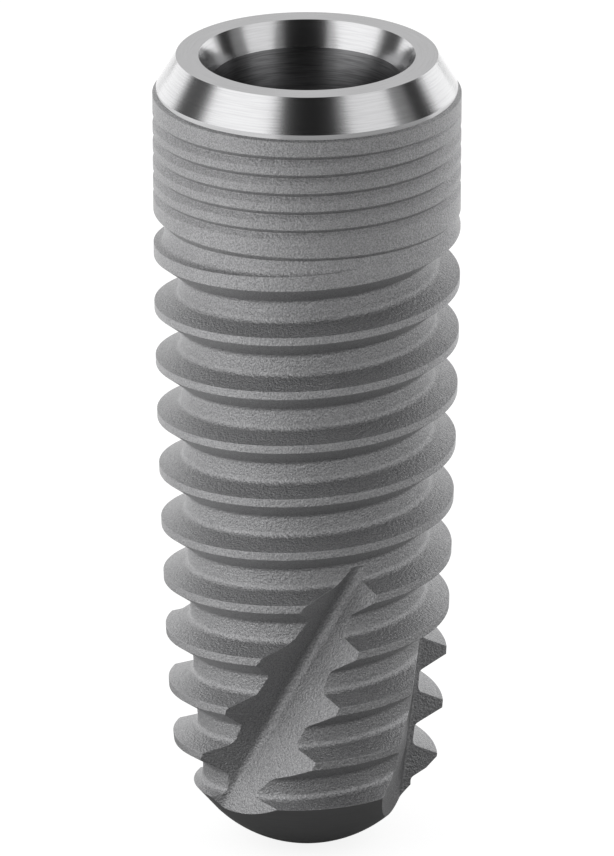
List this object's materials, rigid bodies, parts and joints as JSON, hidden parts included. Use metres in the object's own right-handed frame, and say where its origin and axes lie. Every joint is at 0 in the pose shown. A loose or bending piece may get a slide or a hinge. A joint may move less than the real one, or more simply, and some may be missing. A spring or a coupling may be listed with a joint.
{
  "type": "dental implant",
  "caption": "Tapered screw-form dental implant with a bevelled collar, internal conical connection, micro-threaded neck and self-tapping fluted apex.",
  "frame": {"origin": "tip of the apex, on the implant's long axis", "axes": "+Z along the long axis from the apex to the platform that carries the abutment, -Y towards the viewer of the picture, +X to the viewer's right"},
  "size_m": [0.0043, 0.0043, 0.0116],
  "materials": {
    "titanium": "grit-blasted titanium body with a polished machined collar and a turned bore"
  },
  "bodies": {
    "root": {"implant": "titanium"}
  },
  "joints": []
}
